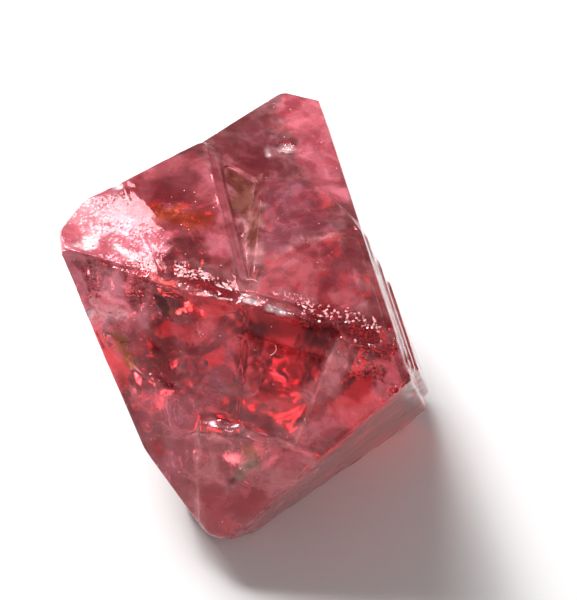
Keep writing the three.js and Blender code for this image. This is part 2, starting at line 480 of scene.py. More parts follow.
@dataclass(frozen=True)
class SpinelFinish:
    """The crystal's see-through red, glassy where it grew and frosted where it is worn or broken.

    Each scale says how fine a pattern is per half diagonal, each span between which heights of a pattern it
    sets in, and the depths of the relief are in metres.
    """

    ior: float = 1.718
    body_tint: Colour = (0.92, 0.12, 0.16)
    body_density: float = 500.0
    mirror_tint: Colour = (1.0, 0.3, 0.34)
    glassy: float = 0.04
    frosted: float = 0.42
    cloud_scale: float = 7.0
    mottle_tint: Colour = (0.55, 0.25, 0.28)
    mottle_share: float = 0.7
    mottle_span: Span = (0.38, 0.58)
    frost_span: Span = (0.35, 0.62)
    least_frost: float = 0.35
    milk_scale: float = 16.0
    milk_span: Span = (0.42, 0.6)
    most_milk: float = 0.55
    facet_scale: float = 130.0
    facet_tilt: float = 0.9
    etch_scale: float = 60.0
    etch_depth: float = 5e-6
    least_etch: float = 0.3
    pit_scale: float = 30.0
    pit_span: Span = (0.0, 0.12)
    unpitted_scale: float = 7.0
    unpitted_span: Span = (0.45, 0.5)
    pit_depth: float = 7e-6
    dust_tint: Colour = (1.0, 0.8, 0.82)
    dust_scale: float = 30.0
    dust_span: Span = (0.1, 0.04)
    dusty_scale: float = 9.0
    dusty_span: Span = (0.5, 0.56)
    across_lines: Shares = (0.55, 0.25, 0.79)
    line_scale: float = 34.0
    line_depth: float = 3e-5
    line_span: Span = (0.45, 0.65)
    line_milk: float = 0.4
    wander_scale: float = 4.0
    wander: float = 0.16
    fading_scale: float = 8.0
    fading_span: Span = (0.35, 0.6)
    least_lines: float = 0.4

    def material(self) -> bpy.types.Material:
        """Builds the material.

        Returns:
            The material, which reads the numbers painted on the skin.
        """
        bench = Bench("spinel")
        place = bench.crystal_place()
        cloud = bench.grain(place, self.cloud_scale, detail=5.0, rough=0.6, twist=0.6)
        mottle = bench.blend(bench.range(cloud, *self.mottle_span), self.mottle_tint, WHITE)
        frosty = bench.range(cloud, *self.frost_span, self.least_frost, 1.0)
        frost = bench.number("MULTIPLY", bench.painted("frost"), frosty)
        lines = bench.number("MULTIPLY", self.striae(bench, place), bench.painted("lined"))
        dust = self.dust(bench, place)
        milk = self.milk(bench, place, frost, lines)
        clear = bench.number("SUBTRACT", bench.painted("clear"), milk, clamp=True)
        tone = bench.blend(self.mottle_share, bench.painted("tone", "Color"), mottle, "MULTIPLY")
        gleam = bench.painted("gleam")
        whiteness = bench.number("MAXIMUM", bench.painted("crumble"), gleam)
        matt = bench.number("MAXIMUM", frost, dust)
        bench.surface(
            Base_Color=bench.blend(dust, tone, self.dust_tint),
            Roughness=bench.range(matt, 0.0, 1.0, self.glassy, self.frosted),
            IOR=self.ior,
            Specular_IOR_Level=bench.range(gleam, -1.0, 1.0),
            Specular_Tint=bench.blend(whiteness, self.mirror_tint, WHITE),
            Transmission_Weight=bench.number("MULTIPLY", clear, bench.number("SUBTRACT", 1.0, dust)),
            Normal=self.relief(bench, place, frost, lines),
        )
        inside = bench.add("ShaderNodeVolumeAbsorption")
        inside.inputs["Color"].default_value = (*self.body_tint, 1.0)
        inside.inputs["Density"].default_value = self.body_density
        bench.feed(bench.output.inputs["Volume"], inside.outputs["Volume"])
        return bench.material

    def milk(self, bench: Bench, place: Feed, frost: Feed, lines: Feed) -> bpy.types.NodeSocket:
        """Works out how much light the clouding and the growth lines hold back.

        Args:
            bench: The material's nodes.
            place: The place in shares.
            frost: How matt the place is.
            lines: The height of the growth lines.

        Returns:
            The share that is held back.
        """
        pattern = bench.grain(place, self.milk_scale, detail=4.0)
        puffs = bench.range(pattern, *self.milk_span, 0.0, self.most_milk)
        lined = bench.number("MULTIPLY", bench.range(lines, *self.line_span), self.line_milk)
        return bench.number("ADD", bench.number("MULTIPLY", frost, puffs), lined)

    def relief(self, bench: Bench, place: Feed, frost: Feed, lines: Feed) -> bpy.types.NodeSocket:
        """Lays the fine relief over the surface: tiny facets, etching, pits and growth lines.

        Args:
            bench: The material's nodes.
            place: The place in shares.
            frost: How matt the place is.
            lines: The height of the growth lines.

        Returns:
            The normal.
        """
        tilt = bench.number("MULTIPLY", bench.painted("crumble"), self.facet_tilt)
        facets = bench.facets(place, self.facet_scale, tilt)
        fine = bench.grain(place, self.etch_scale, detail=6.0, rough=0.65)
        etching = bench.range(frost, 0.0, 1.0, self.least_etch, 1.0)
        etched = bench.relief(fine, self.etch_depth, facets, etching)
        unpitted = bench.range(bench.grain(place, self.unpitted_scale, detail=2.0), *self.unpitted_span)
        pits = bench.range(bench.cells(place, self.pit_scale), *self.pit_span)
        pitted = bench.relief(bench.number("MAXIMUM", pits, unpitted), self.pit_depth, etched)
        return bench.relief(lines, self.line_depth, pitted)

    def dust(self, bench: Bench, place: Feed) -> bpy.types.NodeSocket:
        """Scatters pale specks of dust.

        Args:
            bench: The material's nodes.
            place: The place in shares.

        Returns:
            A number from 0 to 1.
        """
        speck = bench.range(bench.cells(place, self.dust_scale), *self.dust_span)
        dusty = bench.range(bench.grain(place, self.dusty_scale, detail=2.0), *self.dusty_span)
        return bench.number("MULTIPLY", speck, dusty)

    def striae(self, bench: Bench, place: Feed) -> bpy.types.NodeSocket:
        """Adds fine growth lines that run down the front face.

        Args:
            bench: The material's nodes.
            place: The place in shares.

        Returns:
            A height from 0 to 1.
        """
        across = bench.along(place, self.across_lines)
        wander = bench.number("MULTIPLY", bench.grain(place, self.wander_scale, detail=3.0), self.wander)
        stretched = bench.add("ShaderNodeCombineXYZ")
        bench.feed(stretched.inputs["X"], bench.number("ADD", across, wander))
        bands = bench.grain(stretched.outputs["Vector"], self.line_scale, detail=5.0, rough=0.7)
        patches = bench.grain(place, self.fading_scale, detail=3.0)
        return bench.number("MULTIPLY", bands, bench.range(patches, *self.fading_span, self.least_lines, 1.0))


@dataclass(frozen=True)
class PaperFinish:
    """The pale, plain floor."""

    tint: Colour = (0.86, 0.85, 0.85)

    def material(self) -> bpy.types.Material:
        """Builds the material.

        Returns:
            The material.
        """
        bench = Bench("paper")
        bench.surface(Base_Color=(*self.tint, 1.0), Roughness=0.9, Specular_IOR_Level=0.2)
        return bench.material


@dataclass(frozen=True)
class Look:
    """How a stretch of the skin looks.

    tone is the colour that it passes and scatters, clear is the share of light that it lets through, frost is
    how matt it is, crumble how much it glitters as broken stone does, lined how strongly it is striated and
    gleam how strongly it mirrors, from -1 for not at all to 1.
    """

    tone: Colour
    clear: float
    frost: float
    crumble: float = 0.0
    lined: float = 0.0
    gleam: float = 0.0

    @property
    def numbers(self) -> tuple[float, ...]:
        """The look as a row of numbers that can be blended: the tone, then those in PAINTED."""
        return (*self.tone, self.clear, self.frost, self.crumble, self.lined, self.gleam)


PAINTED = ("clear", "frost", "crumble", "lined", "gleam")
CRUMBLE_PLACE = 3 + PAINTED.index("crumble")


PLAIN = Look((0.92, 0.4, 0.44), 0.9, 0.14, 0.03)
RUBBED = Look((0.9, 0.34, 0.38), 0.74, 0.5, 0.08)
MILKY = Look((0.56, 0.125, 0.15), 0.62, 0.34, 0.02)
MILKY_PINK = Look((0.98, 0.26, 0.33), 0.66, 0.3, 0.08)
MILKY_MAUVE = Look((0.46, 0.14, 0.18), 0.64, 0.36, 0.02)
DARK_VEILED = Look((0.36, 0.08, 0.1), 0.7, 0.24, 0.02)
CLEAR_WINDOW = Look((0.6, 0.22, 0.26), 1.0, 0.03, 0.02)
CLEAR_DARK = Look((0.36, 0.05, 0.07), 1.0, 0.05, 0.02)
DARK_RED = Look((0.34, 0.07, 0.08), 0.72, 0.2, 0.04)
CLEAR_DARKEST = Look((0.14, 0.018, 0.03), 1.0, 0.04, 0.02)
WORN_DARK = Look((0.4, 0.08, 0.1), 0.8, 0.7, gleam=-1.0)
FROSTED = Look((0.6, 0.2, 0.22), 0.6, 0.6, 0.1)
# A painted glow: bright red that stands in for light gathered inside the crystal.
PAINTED_GLOW = Look((1.0, 0.1, 0.12), 0.84, 0.1, 0.06)
# A painted orange glow, for light reflected inside the crystal.
PAINTED_ORANGE_GLOW = Look((1.0, 0.17, 0.08), 0.82, 0.2, 0.08)
SHATTERED_PINK = Look((1.0, 0.28, 0.36), 0.68, 0.2, 0.1)
SHATTERED_LOW = Look((1.0, 0.3, 0.38), 0.5, 0.2, 0.25)
SHATTERED_WHITE = Look((1.0, 0.55, 0.62), 0.56, 0.2, 0.22)
SHATTERED_RED = Look((0.85, 0.14, 0.19), 0.86, 0.15, 0.35)
# Near white with white glints: painted highlights in most places, and the white fracture in the left corner.
HIGHLIGHT_AND_WHITE_FLAW = Look((1.0, 0.9, 0.92), 0.3, 0.3, 1.0)
GLITTER = Look((0.45, 0.08, 0.11), 0.9, 0.1, 0.45)
STREAKED = Look((0.95, 0.26, 0.34), 0.72, 0.3, 0.2, 1.0)
DULL = Look((0.2, 0.045, 0.05), 0.3, 1.0, gleam=-1.0)
HAZY = Look((0.36, 0.08, 0.1), 0.36, 0.5)
STAINED = Look((0.17, 0.055, 0.04), 0.4, 1.0, gleam=-0.8)
INKY = Look((0.03, 0.01, 0.008), 0.3, 0.2)
OLIVE = Look((0.42, 0.2, 0.12), 0.76, 0.8)
MOSSY = Look((0.34, 0.27, 0.21), 0.64, 0.8, 0.2)
RUSTY = Look((0.55, 0.2, 0.05), 0.62, 0.5, 0.2)
SANDY = Look((0.34, 0.13, 0.11), 0.45, 0.9, gleam=-0.5)
FLASHING = Look((0.9, 0.5, 0.55), 0.8, 0.2, 0.1, 0.0, 0.35)
SHIMMER = Look((0.7, 0.25, 0.3), 0.75, 0.16, 0.4, 1.0)


@dataclass(frozen=True)
class Patch:
    """A cloudy stretch of the skin from start to end, reach wide on each side.

    Layers of noise fray its edge, each with how fine it is per reach and its share.
    """

    start: Shares
    end: Shares
    reach: float
    look: Look
    ragged: float = 0.7
    fray: ClassVar[Layers] = ((1.1, 1.0), (2.9, 0.6), (8.0, 0.4))
    full_within: ClassVar[float] = 0.45

    @property
    def ball(self) -> tuple[Vector, float]:
        """The middle and the radius of a ball that holds the patch."""
        start, end = Vector(self.start), Vector(self.end)
        return (start + end) / 2, (end - start).length / 2 + self.reach * (1 + 2 * self.ragged)

    def strength(self, point: Vector) -> float:
        """How strongly the patch shows at a point.

        Args:
            point: The point in shares.

        Returns:
            A number from 0 to 1.
        """
        away = segment_distance(point, Vector(self.start), Vector(self.end))
        frayed = away + self.ragged * self.reach * layered(point, self.fray, self.reach)
        return smooth_step(self.reach, self.full_within * self.reach, frayed)


@dataclass(frozen=True)
class Field:
    """A sharply bounded stretch of one face.

    Its corners are places on the face, along X and up the face, in shares from the point nearest the centre.
    It shows only where the skin lies at least least_height out along the face's normal.
    """

    face: Face
    look: Look
    corners: tuple[tuple[float, float], ...]
    soft: float = 0.012
    ragged: float = 0.02
    least_height: float = 0.5
    face_height: ClassVar[float] = 0.61
    margin: ClassVar[float] = 0.1
    fray: ClassVar[Layers] = ((9.0, 1.0), (31.0, 0.5))

    @property
    def outward(self) -> Vector:
        """The face's unit normal in a, b and c."""
        return Vector(self.face.value).normalized()

    @property
    def directions(self) -> tuple[Vector, Vector]:
        """The unit directions along X and up the face, in a, b and c."""
        along, up = face_frame(self.face)
        return AXES.turn.transposed() @ along, AXES.turn.transposed() @ up

    @property
    def ball(self) -> tuple[Vector, float]:
        """The middle and the radius of a ball that holds the field."""
        along, up = self.directions
        lifted = self.outward * self.face_height
        places = [lifted + along * x + up * y for x, y in self.corners]
        middle = sum(places, Vector()) / len(places)
        return middle, max((place - middle).length for place in places) + self.margin

    def strength(self, point: Vector) -> float:
        """How strongly the field shows at a point.

        Args:
            point: The point in shares.

        Returns:
            A number from 0 to 1.
        """
        if point.dot(self.outward) < self.least_height:
            return 0.0
        along, up = self.directions
        flat = Vector((point.dot(along), point.dot(up), 0.0))
        corners = [Vector((x, y, 0.0)) for x, y in self.corners]
        sides = list(zip(corners, corners[1:] + corners[:1]))
        crossed = [
            side for side in sides
            if (side[0].y > flat.y) != (side[1].y > flat.y)
            and flat.x < side[0].x + (side[1].x - side[0].x) * (flat.y - side[0].y) / (side[1].y - side[0].y)
        ]
        depth = min(segment_distance(flat, *side) for side in sides) * (1 if len(crossed) % 2 else -1)
        return smooth_step(-self.soft, self.soft, depth + self.ragged * layered(point, self.fray))


SKIN_LOOKS: tuple[Patch | Field, ...] = (
    # The rear lobe: bright pink on the right, partly painted light that shines through from behind, dark and
    # cloudy on the left, with painted white highlights between.
    Field(Face.TOP, MILKY_PINK, ((-0.2, 0.74), (-0.14, 0.9), (0.0, 0.9), (0.34, 0.24), (0.2, 0.22),
          (-0.04, 0.47)), 0.04, 0.09),
    Patch((-0.1, 0.95, -0.05), (-0.06, 0.78, 0.2), 0.1, MILKY_PINK),
    Patch((-0.38, 0.68, 0.02), (-0.3, 0.62, 0.14), 0.13, DARK_VEILED),
    Patch((-0.3, 0.78, -0.02), (-0.26, 0.74, 0.05), 0.07, MILKY_MAUVE),
    Patch((-0.255, 0.705, 0.09), (-0.245, 0.71, 0.09), 0.022, HIGHLIGHT_AND_WHITE_FLAW),
    Patch((-0.205, 0.735, 0.11), (-0.19, 0.735, 0.12), 0.026, HIGHLIGHT_AND_WHITE_FLAW),
    # The left lobe of the top face: dull red, paler along its right rim.
    Field(Face.TOP, MILKY, ((-0.6, 0.04), (-0.39, 0.27), (-0.22, 0.2), (-0.08, 0.0), (-0.05, -0.36),
          (-0.36, -0.37))),
    Field(Face.TOP, DARK_VEILED, ((-0.5, 0.0), (-0.38, 0.18), (-0.3, 0.14), (-0.3, -0.02),
          (-0.42, -0.12)), 0.03),
    Field(Face.TOP, MILKY_PINK, ((-0.3, 0.19), (-0.2, 0.17), (-0.11, 0.0), (-0.15, -0.05),
          (-0.25, 0.08)), 0.03),
    # A painted orange glow, for light reflected inside the crystal.
    Patch((-0.67, 0.29, 0.14), (-0.56, 0.29, 0.25), 0.06, PAINTED_ORANGE_GLOW),
    Field(Face.TOP, DARK_RED, ((-0.36, -0.28), (-0.22, -0.18), (-0.14, -0.15), (-0.1, -0.27),
          (-0.13, -0.4), (-0.31, -0.4)), 0.012, 0.02, 0.4),
    Field(Face.TOP, MILKY_PINK, ((-0.18, -0.15), (-0.1, -0.13), (-0.02, -0.19), (-0.04, -0.26),
          (-0.12, -0.25)), 0.012),
    Patch((-0.7, 0.05, 0.34), (-0.4, 0.05, 0.62), 0.08, WORN_DARK, 0.3),
    # The valley: rough and stained, with a dull wall behind it.
    Field(Face.TOP, DULL, ((-0.3, 0.34), (-0.05, 0.3), (-0.03, 0.16), (-0.24, 0.18)), 0.02, 0.03, 0.4),
    Field(Face.TOP, HAZY, ((-0.36, 0.33), (-0.26, 0.26), (-0.14, 0.09), (-0.02, -0.15), (0.08, -0.35),
          (0.04, -0.35), (-0.08, -0.15), (-0.2, 0.06), (-0.32, 0.22)), 0.02, 0.02, 0.4),
    Field(Face.TOP, STAINED, ((-0.21, 0.24), (-0.1, 0.24), (0.02, 0.02), (0.08, -0.22), (0.03, -0.22),
          (-0.06, -0.08)), 0.03, 0.05, 0.4),
    Patch((-0.36, 0.41, 0.27), (-0.355, 0.38, 0.3), 0.028, SANDY, 0.4),
    # The right lobe: greyish pink, with two pale rims across it.
    Field(Face.TOP, MILKY_MAUVE, ((-0.06, 0.26), (0.1, 0.3), (0.29, 0.06), (0.19, 0.01), (0.08, -0.2),
          (0.02, -0.02))),
    Field(Face.TOP, MILKY, ((0.09, -0.24), (0.17, -0.06), (0.29, 0.06), (0.5, -0.27), (0.4, -0.36),
          (0.1, -0.36))),
    Field(Face.TOP, RUBBED, ((0.14, -0.1), (0.18, -0.01), (0.27, 0.04), (0.3, 0.02), (0.19, -0.045),
          (0.155, -0.11))),
    Patch((-0.2, 0.2, 0.7), (-0.14, 0.28, 0.66), 0.1, DARK_VEILED),
    # The left corner: pinkish white and shattered, with a red wedge, a white fracture and painted highlights.
    Field(Face.TOP, SHATTERED_PINK, ((-0.75, -0.15), (-0.61, 0.03), (-0.49, -0.12), (-0.38, -0.28),
          (-0.33, -0.4), (-0.8, -0.4)), 0.006, 0.008, 0.4),
    Field(Face.FRONT, SHATTERED_LOW, ((-0.75, 0.6), (-0.3, 0.6), (-0.26, 0.4), (-0.26, 0.25),
          (-0.31, 0.2), (-0.52, 0.16), (-0.66, 0.36)), 0.008, 0.02, 0.4),
    Patch((-0.93, 0.2, -0.02), (-0.82, 0.22, 0.05), 0.12, SHATTERED_WHITE),
    Patch((-0.92, 0.08, 0.1), (-0.9, 0.12, 0.08), 0.05, HIGHLIGHT_AND_WHITE_FLAW, 0.5),
    Patch((-0.8, 0.36, -0.06), (-0.79, 0.35, -0.04), 0.02, HIGHLIGHT_AND_WHITE_FLAW, 0.3),
    Patch((-0.75, 0.26, 0.08), (-0.74, 0.2, 0.15), 0.04, MILKY_PINK),
    Patch((-0.83, 0.2, 0.08), (-0.83, 0.1, 0.16), 0.018, SHATTERED_WHITE, 0.3),
    Patch((-0.83, 0.1, 0.16), (-0.78, 0.07, 0.26), 0.016, HIGHLIGHT_AND_WHITE_FLAW, 0.3),
    Field(Face.FRONT, SHATTERED_RED, ((-0.59, 0.41), (-0.45, 0.46), (-0.49, 0.26),
          (-0.57, 0.33)), 0.01, 0.03, 0.4),
    Field(Face.FRONT, SHATTERED_RED, ((-0.4, 0.46), (-0.29, 0.5), (-0.27, 0.3), (-0.36, 0.3)), 0.02, 0.04),
    Patch((-0.82, -0.17, 0.06), (-0.74, -0.14, 0.17), 0.05, SHATTERED_WHITE),
    Patch((-0.8, -0.17, 0.08), (-0.79, -0.16, 0.09), 0.018, HIGHLIGHT_AND_WHITE_FLAW, 0.3),
    # The left of the front face: mottled red, with a painted glow and a painted orange hot spot towards the
    # left corner.
    Field(Face.FRONT, PLAIN, ((-0.25, 0.5), (0.1, 0.52), (0.08, 0.28), (0.02, 0.33), (-0.04, 0.08),
          (-0.26, 0.18))),
    Patch((-0.66, -0.05, 0.32), (-0.56, -0.06, 0.42), 0.05, PAINTED_GLOW),
    Patch((-0.64, -0.08, 0.35), (-0.63, -0.07, 0.36), 0.03, PAINTED_ORANGE_GLOW),
    Patch((-0.5, -0.1, 0.44), (-0.42, -0.12, 0.5), 0.05, MILKY_PINK),
    Patch((-0.6, -0.14, 0.3), (-0.5, -0.3, 0.26), 0.06, CLEAR_DARK),
    Patch((-0.56, -0.1, 0.38), (-0.46, -0.24, 0.34), 0.05, MILKY),
    Field(Face.FRONT, MILKY_PINK, ((0.02, 0.33), (0.06, 0.34), (0.09, 0.13), (0.04, 0.09),
          (0.03, 0.2)), 0.01, 0.02),
    Patch((-0.43, -0.25, 0.37), (-0.36, -0.32, 0.37), 0.07, MILKY_MAUVE),
    # The clear window: dark along its top, with hot spots low down.
    Field(Face.FRONT, CLEAR_WINDOW, ((0.1, 0.4), (0.47, 0.46), (0.44, 0.36), (0.4, 0.22), (0.34, 0.15),
          (0.22, 0.06), (0.1, 0.17), (0.08, 0.28))),
    Field(Face.FRONT, CLEAR_DARKEST, ((0.1, 0.41), (0.47, 0.47), (0.42, 0.35), (0.3, 0.36),
          (0.12, 0.33)), 0.02),
    # The frosted band to the right of it, and the pale corner with one clear dark spot.
    Field(Face.FRONT, RUBBED, ((0.46, 0.4), (0.51, 0.39), (0.49, 0.21), (0.43, 0.12), (0.37, 0.08),
          (0.34, 0.15), (0.4, 0.22), (0.44, 0.36))),
    Field(Face.FRONT, MILKY_PINK, ((0.6, 0.36), (0.75, 0.45), (0.72, 0.3), (0.59, 0.1), (0.5, 0.0),
          (0.38, 0.0), (0.47, 0.13), (0.59, 0.18)), 0.02, 0.04, 0.4),
    Field(Face.FRONT, CLEAR_DARK, ((0.51, 0.27), (0.56, 0.32), (0.61, 0.27), (0.58, 0.18),
          (0.52, 0.18)), 0.01, 0.03),
    Patch((-0.16, 0.03, 0.85), (-0.04, 0.0, 0.95), 0.06, GLITTER),
    Patch((-0.07, -0.08, 0.89), (-0.03, -0.06, 0.93), 0.05, GLITTER),
    # The lower left: streaks down the face, rust and one bright lens, which is a painted glow.
    Field(Face.FRONT, STREAKED, ((-0.44, 0.22), (-0.33, 0.21), (-0.32, 0.04),
          (-0.37, 0.08)), 0.02, 0.04, 0.4),
    Patch((-0.69, -0.22, 0.15), (-0.6, -0.31, 0.15), 0.035, RUSTY),
    Field(Face.FRONT, STREAKED, ((-0.24, -0.06), (-0.06, 0.0), (-0.01, -0.16), (0.0, -0.4),
          (-0.06, -0.48), (-0.14, -0.3)), 0.05, 0.09, 0.4),
    Patch((-0.48, -0.44, 0.13), (-0.45, -0.47, 0.14), 0.07, MILKY_PINK),
    Patch((-0.36, -0.57, 0.12), (-0.34, -0.59, 0.12), 0.04, PAINTED_GLOW, 0.3),
    # The lobe under the ledge: frosted, with grey-green and olive spots.
    Field(Face.FRONT, FROSTED, ((0.01, -0.09), (0.33, -0.07), (0.5, 0.0), (0.5, -0.2), (0.34, -0.7),
          (0.05, -0.8), (-0.04, -0.45), (0.0, -0.17)), 0.03, 0.05, 0.3),
    Patch((-0.1, -0.5, 0.5), (-0.04, -0.46, 0.6), 0.06, MILKY_PINK),
    Patch((-0.12, -0.7, 0.28), (-0.02, -0.68, 0.4), 0.1, MILKY),
    Patch((-0.02, -0.8, 0.2), (0.02, -0.74, 0.3), 0.06, RUBBED),
    Patch((-0.125, -0.61, 0.365), (-0.125, -0.53, 0.445), 0.032, MOSSY, 0.9),
    Patch((-0.16, -0.48, 0.46), (-0.15, -0.5, 0.45), 0.035, OLIVE),
    # The white broken streaks, painted as highlights over worn strips that also flash: one on the ridge and
    # one on the ledge.
    Patch((-0.475, 0.035, 0.585), (-0.445, 0.035, 0.615), 0.014, HIGHLIGHT_AND_WHITE_FLAW, 0.6),
    Patch((-0.41, 0.03, 0.655), (-0.33, 0.03, 0.735), 0.018, HIGHLIGHT_AND_WHITE_FLAW, 0.6),
    Patch((-0.3, -0.415, 0.375), (-0.13, -0.415, 0.545), 0.014, HIGHLIGHT_AND_WHITE_FLAW, 0.9),
    # Along the ridge: crumbs that glitter, and shimmering lines over its sharp stretch.
    Patch((-0.66, 0.06, 0.37), (-0.52, 0.05, 0.53), 0.05, GLITTER, 0.5),
    Patch((-0.3, 0.06, 0.74), (-0.08, 0.07, 0.93), 0.06, GLITTER),
    Patch((-0.36, 0.1, 0.65), (-0.28, 0.1, 0.72), 0.035, SHIMMER, 0.3),
    # The stone just over the dark grains.
    Patch((-0.672, -0.05, 0.33), (-0.635, -0.08, 0.335), 0.038, INKY, 0.5),
    Patch((-0.13, -0.63, 0.34), (-0.125, -0.615, 0.36), 0.013, INKY, 0.5),
    # The worn upper right corner, with an olive spot.
    Patch((0.0, 0.1, 0.96), (0.03, 0.0, 0.96), 0.05, RUBBED),
    Patch((0.05, 0.05, 0.93), (0.07, 0.02, 0.92), 0.03, STAINED),
)


@dataclass(frozen=True)
class Strip:
    """A narrow band worn along an edge. It is cut into short facets that all face one way and flash together.

    A strip of depth 0 is a notch: each of its facets lies at the mean level of the surface that it replaces.
    """

    start: Shares
    end: Shares
    facing: Shares
    facets: int
    reach: float
    depth: float


WORN_STRIPS = (
    Strip((-0.475, 0.03, 0.59), (-0.32, 0.028, 0.745), (-0.785, 0.268, 0.558), 9, 0.036, 0.012),
    Strip((-0.3, -0.42, 0.37), (-0.23, -0.42, 0.44), (-0.77, 0.32, 0.55), 3, 0.03, 0.0),
    Strip((-0.21, -0.42, 0.47), (-0.15, -0.42, 0.53), (-0.77, 0.32, 0.55), 3, 0.03, 0.0),
    Strip((-0.12, -0.42, 0.56), (-0.1, -0.42, 0.58), (-0.77, 0.32, 0.55), 1, 0.024, 0.0),
)


@dataclass
class CrystalSkin:
    """The crystal's own surface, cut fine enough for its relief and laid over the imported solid."""

    slice_pitch: float = 0.205 * MM
    weld: float = 1e-7
    level_within: float = math.radians(0.3)
    edge_from: float = math.radians(18)
    crisp_from: float = math.radians(24)
    smoothing: float = 0.5
    swell: float = 0.007 * MM
    swell_layers: Layers = ((1.1, 1.0), (2.9, 0.5))
    sunk_by: float = 0.6
    splinter_depth: float = 0.05 * MM
    shards: Span = (3.4, 1.3)
    chips: Span = (8.5, 0.5)
    splintered_from: float = 0.15
    pit_depth: float = 0.014 * MM
    pits_per_face: int = 34
    pit_seed: int = 17
    pit_reach_mm: Span = (0.05, 0.17)
    full_pit_reach: float = 0.12 * MM
    pit_search: float = 2.2
    pit_floor: float = 0.35
    pit_facing: float = 0.995
    rubbed_share: float = 0.25
    flash_share: float = 0.5
    edge_wear: float = 0.005 * MM
    even_wear: float = 0.8
    wear_layers: Layers = ((9.0, 0.9),)
    rubbed_layers: Layers = ((1.7, 1.0),)
    rubbed_span: Span = (-0.4, 0.5)
    worn_width: float = 0.09 * MM
    soft_rounds: int = 8
    soft_place_rounds: int = 18
    # Each stretch is worn round within its reach: the valley, the edge beside it, the seams between the
    # lobes, the rear and lower corners, the growth stairs, the left ridge and the window's left edge.
    soft_places: tuple[tuple[Shares, Shares, float], ...] = (
        ((-0.36, 0.62, 0.1), (-0.38, 0.2, 0.45), 0.17),
        ((-0.38, 0.6, 0.08), (-0.25, 0.58, 0.22), 0.1),
        ((-0.49, 0.62, 0.0), (-0.45, 0.42, 0.23), 0.09),
        ((-0.45, 0.42, 0.23), (-0.47, 0.07, 0.56), 0.08),
        ((-0.16, 0.99, -0.11), (-0.05, 1.03, -0.04), 0.12),
        ((-0.05, -0.88, 0.18), (0.02, -0.83, 0.28), 0.12),
        ((-0.25, 0.66, 0.16), (-0.05, 0.6, 0.4), 0.1),
        ((0.1, 0.55, 0.4), (0.05, 0.15, 0.85), 0.16),
        ((-0.85, 0.1, 0.14), (-0.68, 0.05, 0.34), 0.08),
        ((-0.47, 0.0, 0.58), (-0.34, -0.3, 0.42), 0.06),
    )
    looks: list[list[float]] = field(default_factory=list)

    def build(self) -> bpy.types.Object:
        """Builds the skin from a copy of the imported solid.

        Returns:
            The skin's object.
        """
        bm = bmesh.new()
        bm.from_mesh(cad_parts[NODE].data)
        bmesh.ops.remove_doubles(bm, verts=bm.verts, dist=self.weld)
        bmesh.ops.dissolve_limit(bm, angle_limit=self.level_within, verts=bm.verts, edges=bm.edges)
        self.slice(bm)
        bmesh.ops.triangulate(bm, faces=bm.faces)
        bmesh.ops.subdivide_edges(bm, edges=bm.edges, cuts=1, use_grid_fill=True)
        bmesh.ops.triangulate(bm, faces=bm.faces)
        for face in bm.faces:
            face.smooth = True
        worn = self.near_edges(bm)
        self.soften(bm)
        self.settle_looks(bm)
        self.carve(bm, worn)
        self.paint(bm)
        add_mesh(bm, OpenCracks().mesh())
        mesh = bpy.data.meshes.new("crystal_skin")
        bm.to_mesh(mesh)
        bm.free()
        mesh.set_sharp_from_angle(angle=self.crisp_from)
        return placed("crystal_skin", mesh)

    def slice(self, bm: bmesh.types.BMesh) -> None:
        """Cuts the surface along evenly spaced planes, square to each axis.

        Args:
            bm: The mesh to cut.
        """
        low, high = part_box(NODE)
        for axis in range(3):
            square = Vector([float(i == axis) for i in range(3)])
            cuts = int((high[axis] - low[axis]) / self.slice_pitch)
            for cut in range(1, cuts):
                at = low + (high - low) * (cut / cuts)
                everything = [*bm.verts, *bm.edges, *bm.faces]
                bmesh.ops.bisect_plane(bm, geom=everything, plane_co=at, plane_no=square, dist=self.weld)

    def soften(self, bm: bmesh.types.BMesh) -> None:
        """Rounds the rims and steps as wear does.

        Args:
            bm: The skin.
        """
        self.smooth(bm, list(bm.verts), self.soft_rounds)
        for start, end, reach in self.soft_places:
            ends = AXES.point(start), AXES.point(end)
            near = [
                vertex for vertex in bm.verts
                if segment_distance(vertex.co, *ends) < reach * AXES.half_diagonal
            ]
            self.smooth(bm, near, self.soft_place_rounds)

    def smooth(self, bm: bmesh.types.BMesh, verts: list[bmesh.types.BMVert], rounds: int) -> None:
        """Smooths some of the vertices.

        Args:
            bm: The skin.
            verts: The vertices.
            rounds: How often each is moved towards its neighbours.
        """
        for _ in range(rounds):
            bmesh.ops.smooth_vert(
                bm, verts=verts, factor=self.smoothing, use_axis_x=True, use_axis_y=True, use_axis_z=True
            )

    def settle_looks(self, bm: bmesh.types.BMesh) -> None:
        """Works out the look of every point from the patches that reach it.

        Args:
            bm: The skin.
        """
        bm.verts.index_update()
        places = [AXES.shares(vertex.co) for vertex in bm.verts]
        tree = kdtree.KDTree(len(places))
        for number, place in enumerate(places):
            tree.insert(place, number)
        tree.balance()
        self.looks = [list(PLAIN.numbers) for _ in places]
        for patch in SKIN_LOOKS:
            target = patch.look.numbers
            for place, number, _ in tree.find_range(*patch.ball):
                self.blend_look(number, target, patch.strength(place))

    def blend_look(self, number: int, target: tuple[float, ...], share: float) -> None:
        """Moves the look of one point towards another look.

        Args:
            number: The vertex's number.
            target: The other look's numbers.
            share: How far to go, from 0 to 1.
        """
        if share > 0.0:
            self.looks[number] = [a + (b - a) * share for a, b in zip(self.looks[number], target)]

